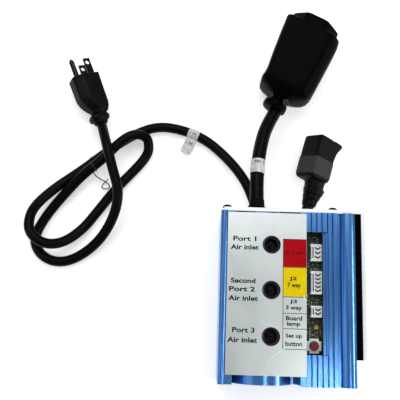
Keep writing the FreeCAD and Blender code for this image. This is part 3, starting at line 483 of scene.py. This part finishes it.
def make_pump_socket():
    """A cord clamp and a shell whose right side is rounded, in one skin, and an eight-sided insert."""
    rows = [  # distance along, left, right, tall, sharp and rounding
        (-0.5, 9, 4.4, 8, 2.4, 0),
        (0.4, 12, 7, 10.4, 4, 0.1),
        (1.6, 13.6, 8.2, 11.6, 5, 0.2),
        (3.2, 14.2, 8.6, 12, 5, 0.2),
        (6, 13.8, 8.4, 12, 5, 0.2),
        (8, 12.2, 7.6, 11, 4.5, 0.2),
        (9.6, 11.2, 7.2, 10.4, 4, 0.2),
        (11, 11.6, 7.6, 10.8, 4, 0.2),
        (12.6, 13, 8.8, 12.4, 5, 0.4),
        (14.4, 18.6, 12.6, 14.6, 7, 0.6),
        (16.2, 22.6, 16.4, 16.6, 9, 0.7),
        (18.4, 24.6, 19.8, 18.4, 12, 0.8),
        (21, 25, 21.8, 19.4, 16, 0.9),
        (24.4, 24.2, 23, 20, 20, 1),
        (29, 24, 23.4, 20.4, 26, 1),
        (44, 26.1, 23.6, 21.6, 28, 1),
        (66, 28.7, 23.8, 22.8, 28, 1),
        (75, 29.6, 23.9, 23.3, 28, 1),
        (79.6, 30.1, 23, 23.5, 28, 1),
        (80.6, 30, 22.8, 23.4, 28, 1),
        (81.2, 29.3, 22.2, 22.7, 28, 1),
        (81.2, 27, 21, 21, 28, 1),
    ]
    mesh = bmesh.new()
    rings = []
    for y, left, right, tall, sharp, rounding in rows:
        corner = (right + tall) / math.sqrt(2)
        walls = chamfered(left, right, tall, 3)
        walls += [(turn, corner * (1 - 0.17 * rounding)) for turn in (38, 52, 308, 322)]
        rings.append(section(y, walls, sharp))
    loft(mesh, rings, OUTLET)
    shell = finish_mesh("pump_socket_shell", mesh, "pump_vinyl", angle=22)
    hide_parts("outlet_housing")
    mesh = bmesh.new()
    loft(mesh, [section(y, [(turn, reach) for turn in range(0, 360, 45)], 30, (-4, 0)) for y, reach in (
        (80.6, 22.8), (87, 22.8), (89.4, 22.6), (90.1, 22.2), (90.4, 21.6))], OUTLET)
    insert = finish_mesh("pump_socket_insert", carved(mesh, openings(80.9, 95, OUTLET)), "pump_vinyl",
                         angle=22)
    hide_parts("outlet_face")
    return [shell, insert]


def make_light_socket():
    """A stepped neck and a square body set on its edge, with a matt band whose lighter grey is painted
    reflection, and a thumb lip at its face.
    """
    body_shift = (-2.3, -0.7)

    def walls(left, right, tall):
        return [(-13, right), (77, tall), (167, left), (257, tall)]

    mesh = bmesh.new()
    # Distance along, radius and shift.
    neck = [(-0.5, 4.6, 0), (7, 4.8, 0.2), (8, 6, 0.4), (12, 6.6, 0.5), (12.6, 6.2, 0.6), (13.4, 7, 0.8),
            (17, 7.8, 1), (17.6, 7.4, 1.2), (18.4, 8.2, 1.4), (23, 9.3, 1.6), (24.2, 8.4, 1.2),
            (26, 8.4, 0.8), (29.2, 8.8, 0.4), (30, 9.6, 0)]
    rings = [section(y, oblong(2 * r, 2 * r), 2.2, (shift, 0)) for y, r, shift in neck]
    body = [  # distance along, left, right, tall and sharp
        (30.6, 9.6, 8.4, 9.4, 5),
        (31.2, 10.8, 9.6, 10.4, 8),
        (32.4, 11.4, 10, 10.9, 12),
        (34, 11.7, 10.2, 11, 16),
        (50, 12, 10.6, 11, 18),
        (50.5, 11.7, 10.3, 10.8, 18),
        (56, 11.9, 11, 10.8, 18),
        (60, 11.8, 12.2, 10.8, 18),
        (64, 11.8, 14.6, 10.8, 18),
        (67, 11.7, 16.4, 10.8, 16),
        (68.4, 11.6, 16.7, 10.8, 16),
        (69.4, 11.4, 16, 10.5, 16),
        (70, 10.8, 14.4, 10, 16),
    ]
    for y, left, right, tall, sharp in body:
        rings.append(section(y, walls(left, right, tall), sharp, body_shift))
    loft(mesh, rings, LIGHT)
    shell = finish_mesh("light_socket_shell", carved(mesh, openings(57, 75, LIGHT)), "connector", angle=22)
    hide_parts("light_socket")
    # The band round the body's lower half is lighter grey than the shell: painted reflection.
    mesh = bmesh.new()
    loft(mesh, [section(y, walls(11.8 + by, 10.3 + by, 11 + by), 17, body_shift)
                for y, by in ((33.4, -0.4), (34.2, 0.2), (49.4, 0.25), (50.2, -0.3))], LIGHT, capped=False)
    finish_mesh("light_socket_reflection_band", mesh, "painted_reflection_band", angle=22)


def route_frame(route, run):
    """A frame at the middle of a route's run, where the smooth lead touches it: +X along the lead."""
    start, end = Vector(route[run]), Vector(route[run + 1])
    along = (end - start).normalized()
    across = UP.cross(along).normalized()
    up = along.cross(across)
    turned = Matrix((along, across, up)).transposed().to_4x4()
    return Matrix.Translation((start + end) / 2 * MM) @ turned


def make_flag_tag():
    """A pale film wrapped round the lead and stuck to itself, so that it stands off as a flag. Its path
    goes across the lead, and its free end is rounded."""
    at = route_frame(POWER_ROUTE, FLAG_RUN)
    mesh = bmesh.new()
    reach, thick, half_wide, round_from = POWER_RADIUS + 0.12, 0.3, 5.2, 18
    path = []
    for i in range(25):
        a = math.radians(14 + i * 332 / 24)
        path.append((reach * math.cos(a), reach * math.sin(a)))
    out = [(6, 0.9), (8, 0.75), (10, 0.9), (12.5, 1.3), (15, 1.8), (17.6, 2.5), (18.6, 2.8), (19.6, 3.1),
           (20.4, 3.4), (21, 3.6)]
    path = [(n, z + 0.05) for n, z in reversed(out)] + path + [(n, z - 0.28) for n, z in out]
    rows = []
    for i, (n, z) in enumerate(path):
        before, after = path[max(i - 1, 0)], path[min(i + 1, len(path) - 1)]
        slope = Vector((after[0] - before[0], after[1] - before[1])).normalized()
        normal = Vector((slope.y, -slope.x)) * thick / 2
        half = half_wide - max(n - round_from, 0) ** 2 * 0.3
        rows.append([Vector((x, n + s * normal.x, z + s * normal.y)) * MM
                     for s in (-1, 1) for x in ([-half, half] if s < 0 else [half, -half])])
    loft(mesh, rows, at)
    tag = finish_mesh("flag_label", mesh, "tag", angle=40)
    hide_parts("flag_tag")
    mesh = bmesh.new()
    turned = at @ moved(0, 0, 1.45) @ Matrix.Rotation(math.radians(9), 4, "X")
    lettering(mesh, "No. 1", (0.4, 9.6, 0), (6.4, 2), turned)
    lettering(mesh, "No. 1", (0.4, 0.4, POWER_RADIUS + 0.32), (6, 1.6), at)
    marks = finish_mesh("flag_print", mesh, "ink")
    return [tag, marks]


def make_sleeve_print():
    """A generic number on the wrapped label of the pump lead."""
    at = route_frame(OUTLET_ROUTE, SLEEVE_RUN)
    mesh = bmesh.new()
    radius, turned, forward = (OUTLET_RADIUS + 0.46) * MM, 0.12, 3.4 * MM
    lettering(mesh, "No. 1", (0, 0, 0), (9, 2.6))
    for v in mesh.verts:
        around = v.co.x / radius + turned
        reach = radius + v.co.z
        v.co = at @ Vector((forward + v.co.y, -reach * math.sin(around), reach * math.cos(around)))
    return finish_mesh("sleeve_print", mesh, "ink")


def make_twist_tie():
    """A dark wire round both strands, with a long tail that ends in a small loop."""
    first, second = [(Vector(POWER_ROUTE[i]) + Vector(POWER_ROUTE[i + 1])) / 2 for i in TIED_RUNS]
    along = (Vector(POWER_ROUTE[TIED_RUNS[0] + 1]) - Vector(POWER_ROUTE[TIED_RUNS[0]])).normalized()
    across = first - second
    across = (across - along * across.dot(along)).normalized()
    up = across.cross(along)
    reach = POWER_RADIUS + 0.65
    points = []
    for centre, start in ((first, 90), (second, 270)):
        for i in range(7):
            a = math.radians(start - 30 * i)
            points.append(centre + (across * math.cos(a) + up * math.sin(a)) * reach)
    tail = [(-171.2, 108.6, 13), (-169.6, 106.2, 9), (-166, 104.6, 4), (-161.8, 102.6, 2.8),
            (-158.4, 100.4, 2.4), (-157, 98, 2.2), (-159, 95.8, 2.2), (-163, 96, 2.2),
            (-165, 97.4, 2.2), (-163.4, 100.4, 2.6), (-160.8, 103, 3.4), (-158.6, 104.6, 4.2)]
    tie = spline("twist_tie_wire", [tuple(p) for p in points] + tail, 0.5, "tie", resolution=6)
    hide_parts("twist_tie")
    return tie


plug_shell = make_plug()
pump_pieces = make_pump_socket()
make_light_socket()
flag_pieces = make_flag_tag()
sleeve_print = make_sleeve_print()
twist_tie = make_twist_tie()

# ---------------------------------------------------------------- label

label_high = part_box("faceplate")[1] / MM
LABEL_TOP = label_high.z
CELL_LEFT, CELL_RIGHT = -3.9, label_high.x


def make_print():
    """Coloured cells, ruled lines and plain wording in black."""
    for name, look, low, high in (
        ("print_red", "red_ink", 24.2, 46.8),
        ("print_yellow", "yellow_ink", 0.2, 23.6),
    ):
        mesh = bmesh.new()
        block(mesh, (CELL_LEFT, low, LABEL_TOP), (CELL_RIGHT - 0.1, high, LABEL_TOP + 0.05))
        finish_mesh(name, mesh, look)
    mesh = bmesh.new()
    for y in (46.9, 23.9, -0.1, -13.2, -25.4, -41.4):
        block(mesh, (CELL_LEFT - 0.2, y - 0.24, LABEL_TOP), (CELL_RIGHT - 0.1, y + 0.24, LABEL_TOP + 0.08))
    block(mesh, (CELL_LEFT - 0.25, -41.4, LABEL_TOP), (CELL_LEFT + 0.2, 46.9, LABEL_TOP + 0.08))
    for text, x, y, wide, tall in (
        ("Port 1", -35.6, 46.4, 19, 4.1),
        ("Air inlet", -35.6, 39.4, 23, 4.1),
        ("Second", -36.4, 12, 20, 4.1),
        ("Port 2", -37.2, 5.2, 21, 4.1),
        ("Air inlet", -36.2, -2.2, 24, 4.1),
        ("Port 3", -35.6, -27.4, 18, 4.2),
        ("Air inlet", -36.4, -35.2, 24, 4.2),
        ("J2", 4.2, 14.4, 6, 3.8),
        ("7 way", 5, 9, 11, 4.6),
        ("J3", 4.4, -4, 6, 3.6),
        ("3 way", 4.8, -9, 13, 4.4),
        ("Board", 5, -17, 13, 3.6),
        ("lamp", 4.6, -21.8, 10.5, 4.2),
        ("Set up", 4.8, -31.2, 13, 4.2),
        ("button", 4.8, -37, 13.4, 3.8),
    ):
        lettering(mesh, text, (x, y, LABEL_TOP + 0.05), (wide, tall))
    finish_mesh("print_black", mesh, "ink")
    mesh = bmesh.new()
    lettering(mesh, "J1  5 way", (5, 35.6, LABEL_TOP + 0.08), (14.4, 3.6))
    finish_mesh("print_dark_red", mesh, "dark_red_ink")


def ridge(mesh, start, end, wide, tall, steps=14):
    """A long low swelling of the film between two points, pointed at both ends, in mm."""
    start, end = Vector(start), Vector(end)
    along = (end - start).normalized()
    side = along.cross(UP)
    rings = []
    for i in range(steps + 1):
        t = i / steps
        swell = max(math.sin(math.pi * t) ** 0.6, 0.05)
        bend = side * math.sin(math.pi * t) * 0.8
        rings.append([(start.lerp(end, t) + bend + side * math.cos(a) * wide / 2 * swell
                       + Vector((0, 0, math.sin(a) * tall * swell))) * MM
                      for a in angles(12)])
    loft(mesh, rings)


def make_creases():
    """The long crease below the cells, and a few small ones beside the ports and edges, as real raised ridges
    in a film lighter than the label: a painted highlight.
    """
    mesh = bmesh.new()
    for start, end, wide, tall in (
        ((-1.6, -40.4), (-17.4, -53.6), 1.3, 0.45),
        ((-20.6, -18.6), (-18.6, -20.2), 1, 0.3),
        ((13.2, 1.6), (14.8, -2.6), 1, 0.3),
        ((-44.6, 10.4), (-44, 6.6), 0.5, 0.15),
        ((-46.9, 4), (-46, 1), 0.5, 0.15),
        ((-27.6, -45), (-27.2, -47.4), 0.6, 0.15),
    ):
        ridge(mesh, (*start, LABEL_TOP + 0.1), (*end, LABEL_TOP + 0.1), wide, tall)
    finish_mesh("film_creases", mesh, "film", angle=60)


make_print()
make_creases()

# ---------------------------------------------------------------- upper board, seen through the window

BOARD_TOP = (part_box("control_board")[1] / MM).z
HEADERS = [[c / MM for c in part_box(name)] for name in ("display_header", "light_header", "sensor_header")]
# Where the small parts are strewn, and what they keep clear of.
FIELD_X, FIELD_Y = (17.5, 32), (-44, 53)
SWITCH_Y, LAMP, LAMP_ROOM = (-45.4, -31.6), (25, -23.5), 3.4
TRIES, MOST_PARTS = 700, 45


def make_card_rail():
    """The blue rail that holds the board's right edge, seen inside the window."""
    mesh = bmesh.new()
    low_y, high_y = -45.4, 53.4
    for left, right, low, high in ((28.9, 33.1, 50.2, 51.6), (31.2, 33.1, 51.5, 52.8)):
        block(mesh, (left, low_y, low), (right, high_y, high))
    finish_mesh("card_rail", mesh, "anodised_blue", bevel=0.3)


def make_switch_body():
    """A push switch: black base and corner rivets, and a white plate cut away round them."""
    low, high = [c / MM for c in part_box("config_switch")]
    x, y, half = (low.x + high.x) / 2, (low.y + high.y) / 2, (high.x - low.x) / 2
    mesh = bmesh.new()
    block(mesh, (x - half, y - half, BOARD_TOP), (x + half, y + half, high.z - 1))
    for dx in (-1, 1):
        for dy in (-1, 1):
            revolve(mesh, [(high.z - 1.2, 1.15), (high.z - 0.2, 1.15), (high.z + 0.1, 0.8)],
                    standing(x + dx * (half - 1.3), y + dy * (half - 1.3)), 20)
    revolve(mesh, [(high.z - 1.1, 4), (high.z + 0.02, 4), (high.z + 0.02, 3.2)], standing(x, y))
    base = finish_mesh("switch_base", mesh, "switch_black", bevel=0.1)
    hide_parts("config_switch")
    mesh = bmesh.new()
    cut = 2.2
    block(mesh, (x - half + 0.1, y - half + cut, high.z - 1), (x + half - 0.1, y + half - cut, high.z))
    block(mesh, (x - half + cut, y - half + 0.1, high.z - 1),
          (x + half - cut, y + half - 0.1, high.z - 0.001))
    tool = bmesh.new()
    revolve(tool, [(high.z - 2, 3.9), (high.z + 1, 3.9)], standing(x, y))
    finish_mesh("switch_plate", carved(mesh, tool), "header")


def prism(mesh, corners, low, high):
    """An upright block over a flat outline, between two heights, in mm."""
    loft(mesh, [[Vector((x, y, z)) * MM for x, y in corners] for z in (low, high)])


def make_header_details():
    """Dark wedges that zigzag along each header's room as painted shade between the pins, the room's floor, a
    dark strip beside it as painted shade in the slot of its wall, and a latch at each end."""
    dark, white = bmesh.new(), bmesh.new()
    for low, high in HEADERS:
        room_left, room_right = low.x + 3.3, high.x - 1.1
        count = max(round((high.y - low.y - 3) / 3.4), 2)
        step = (high.y - low.y - 3) / count
        for i in range(count):
            y = low.y + 1.5 + step * (i + 0.5)
            for x0, x1, side in (
                (room_left - 0.4, room_left + 2, -1),
                (room_left + 1.9, room_right + 0.2, 1),
            ):
                lean = step * 0.22 * side
                prism(dark, [(x0, y - lean - 0.62), (x1, y + lean - 0.62), (x1, y + lean + 0.62),
                             (x0, y - lean + 0.62)], high.z - 1.4, high.z + 0.04)
        prism(white, [(room_left, low.y + 1), (room_right, low.y + 1), (room_right, high.y - 1),
                      (room_left, high.y - 1)], BOARD_TOP + 1.6, high.z - 0.6)
        block(dark, (low.x + 0.9, low.y + 2.2, high.z - 0.4), (low.x + 1.9, high.y - 2.2, high.z + 0.03))
        for y in (low.y, high.y - 1.5):
            block(white, (low.x - 0.7, y, BOARD_TOP), (low.x + 0.2, y + 1.5, high.z - 0.8))
    # The dark wedges and strip are painted shade, in the same dark epoxy as the board's chips.
    finish_mesh("header_painted_shade", dark, "chip")
    finish_mesh("header_walls", white, "header", bevel=0.12)


def make_board_parts():
    """Small resistors and a chip with soldered ends, solder dots and silkscreen ticks, strewn over the
    board clear of the headers, switch, lamp and each other."""
    chips, ends, ink = bmesh.new(), bmesh.new(), bmesh.new()
    taken = [(low.y - 1, high.y + 1) for low, high in HEADERS] + [SWITCH_Y]
    placed = []

    def patch(mesh, x, y, half_x, half_y, tall):
        block(mesh, (x - half_x, y - half_y, BOARD_TOP), (x + half_x, y + half_y, BOARD_TOP + tall))

    for _ in range(TRIES):
        x, y = rng.uniform(*FIELD_X), rng.uniform(*FIELD_Y)
        if any(a < y < b for a, b in taken):
            continue
        if any(abs(x - p) < 2.3 and abs(y - q) < 1.9 for p, q in placed):
            continue
        if math.hypot(x - LAMP[0], y - LAMP[1]) < LAMP_ROOM or len(placed) >= MOST_PARTS:
            continue
        placed.append((x, y))
        kind = rng.random()
        if kind < 0.45:
            upright = rng.random() < 0.5
            half_x, half_y = (0.341, 0.651) if upright else (0.651, 0.341)
            patch(chips, x, y, half_x, half_y, 0.5)
            for s in (-0.85, 0.85):
                dx, dy = (0, s) if upright else (s, 0)
                patch(ends, x + dx, y + dy, 0.36, 0.36, 0.52)
        elif kind < 0.7:
            revolve(ends, [(BOARD_TOP + 0.12, 0.34), (BOARD_TOP - 0.02, 0.5)], standing(x, y), 14)
        else:
            half_x, half_y = (0.75, 0.11) if rng.choice((0, 1)) else (0.11, 0.75)
            patch(ink, x, y, half_x, half_y, 0.04)
            patch(ink, x + 0.7, y + 0.5, half_y, half_x, 0.04)
    block(chips, (20.4, -18.6, BOARD_TOP), (23.6, -16.2, BOARD_TOP + 1.1))
    finish_mesh("board_chips", chips, "chip")
    finish_mesh("board_solder", ends, "solder")
    finish_mesh("board_marks", ink, "silkscreen")


make_card_rail()
make_switch_body()
make_header_details()
make_board_parts()

# ---------------------------------------------------------------- screws and port linings


def make_screws(name, node, dome, head_at, facing):
    """Domed or flat screw heads with a cross recess, one over each of a node's shanks."""
    mesh, tool = bmesh.new(), bmesh.new()
    for x, z, y, radius, tall in head_at:
        at = moved(x, y, z)
        if facing < 0:
            at = at @ Matrix.Rotation(math.pi, 4, "Z")
        if dome:
            profile = [(-9, 1.6), (0, 1.6), (0, radius - 0.1), (0.25, radius)]
            profile += [(tall * math.sin(a), radius * math.cos(a) ** 0.62)
                        for a in (0.35, 0.6, 0.85, 1.1, 1.35)]
            profile.append((tall, 0.5))
        else:
            profile = [(-9, 1.6), (-tall, 1.7), (0, radius)]
        revolve(mesh, profile, at)
        top = tall if dome else 0
        for turn in (20, 110):
            spin = at @ Matrix.Rotation(math.radians(turn), 4, "Y")
            block(tool, (-1.9, top - 1.3, -0.38), (1.9, top + 1, 0.38), spin)
    piece = finish_mesh(name, carved(mesh, tool), "steel", angle=40)
    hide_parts(node)


SCREWS = [(-50.3, 48), (38, 48), (-50.3, 5.2), (50.3, 5.2)]
PORT_X, PORTS_Y = -13.5, (42, 5, -32)
plate_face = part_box("end_bracket")[1].y / MM
cap_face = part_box("bottom_cap")[0].y / MM
make_screws("plate_screw_heads", "plate_screws", True, [(x, z, plate_face, 4, 2.6) for x, z in SCREWS], 1)
make_screws("cap_screw_heads", "cap_screws", False, [(x, z, cap_face, 3.3, 1.5) for x, z in SCREWS], -1)


def make_port_linings():
    """A dark red-brown seal round each port, between the tube wall and the air switch."""
    mesh = bmesh.new()
    steps = 48
    for y in PORTS_Y:
        at = standing(PORT_X, y)
        rows = [[mesh.verts.new(at @ (Vector((r * math.cos(a), z, r * math.sin(a))) * MM))
                 for a in angles(steps)]
                for z, r in ((46.4, 6.9), (50.2, 6.9), (50.6, 6.5), (50.2, 5.8), (46.4, 5.8))]
        for low, high in zip(rows, rows[1:] + rows[:1]):
            for i in range(steps):
                j = (i + 1) % steps
                mesh.faces.new((low[i], low[j], high[j], high[i]))
    finish_mesh("port_seals", mesh, "brown_rubber")


make_port_linings()

EDGES = {
    "extrusion": 0.25, "bottom_cap": 0.25, "faceplate": 0.15, "end_bracket": 0.5, "side_pad": 0.6,
    "config_button": 0.4, "plug_blades": 0.25, "display_header": 0.2, "light_header": 0.2,
    "sensor_header": 0.2, "power_bushing": 0.5, "outlet_bushing": 0.5, "light_bushing": 0.5,
    "outlet_clamp_screws": 0.5,
}
for name, width in EDGES.items():
    soften(frame["nodes"][name], width)

# ---------------------------------------------------------------- room, light and camera

FLOOR_GLOW, FLOOR_REACH, WORLD_GLOW = 0.45, 3, 0.34
LIGHTS = [  # name, place, aim, size and power
    ("softbox_far", (-0.1, 0.7, 1.2), (-0.05, 0.08, 0), (1.3, 0.9), 9),
    ("softbox_left", (-0.7, -0.15, 0.6), (-0.05, 0.05, 0), (0.5, 0.5), 0.9),
    ("strip_right", (0.26, -0.16, 1.2), (0.05, -0.05, 0.05), (0.03, 0.16), 0.7),
    ("softbox_right", (0.6, -0.05, 0.36), (0.05, -0.02, 0.05), (0.4, 0.1), 2),
]


def make_floor():
    """A flat sheet of pale paper that glows a little, as on a light table."""
    mesh = bmesh.new()
    bmesh.ops.create_grid(mesh, x_segments=1, y_segments=1, size=FLOOR_REACH)
    data = bpy.data.meshes.new("floor")
    mesh.to_mesh(data)
    mesh.free()
    paper = surface("floor_paper", colour(246, 246, 246), colour(250, 250, 250), 0.9, size=40, bump=0.02,
                    spread=0.02, specular=0.1)
    shader = paper.node_tree.nodes["Principled BSDF"]
    shader.inputs["Emission Color"].default_value = colour(255, 255, 255)
    shader.inputs["Emission Strength"].default_value = FLOOR_GLOW
    data.materials.append(paper)
    in_scene("floor", data)


def make_light(name, at, aim, size, power):
    """A rectangular area light, in metres and watts."""
    data = bpy.data.lights.new(name, "AREA")
    data.shape = "RECTANGLE"
    data.size, data.size_y = size
    data.energy = power
    lamp = in_scene(name, data)
    lamp.location = at
    lamp.rotation_euler = (Vector(aim) - Vector(at)).to_track_quat("-Z", "Y").to_euler()


def make_camera():
    """A 58.3 mm lens above the box, tilted a little towards the leads and rolled a little."""
    data = bpy.data.cameras.new("camera")
    data.lens, data.sensor_width = 58.3, 36
    camera = in_scene("camera", data)
    at, aim = Vector((-0.0688, -0.03, 0.583)), Vector((-0.074, 0.0886, 0))
    look = (aim - at).to_track_quat("-Z", "Y").to_matrix().to_4x4()
    camera.matrix_world = Matrix.Translation(at) @ look @ Matrix.Rotation(math.radians(-0.75), 4, "Z")
    bpy.context.scene.camera = camera


make_floor()
make_camera()
for light in LIGHTS:
    make_light(*light)
world = bpy.data.worlds.new("studio")
world.use_nodes = True
sky = world.node_tree.nodes["Background"]
sky.inputs["Color"].default_value = (0.93, 0.96, 1, 1)
sky.inputs["Strength"].default_value = WORLD_GLOW
bpy.context.scene.world = world
bpy.context.scene.view_settings.view_transform = "Standard"
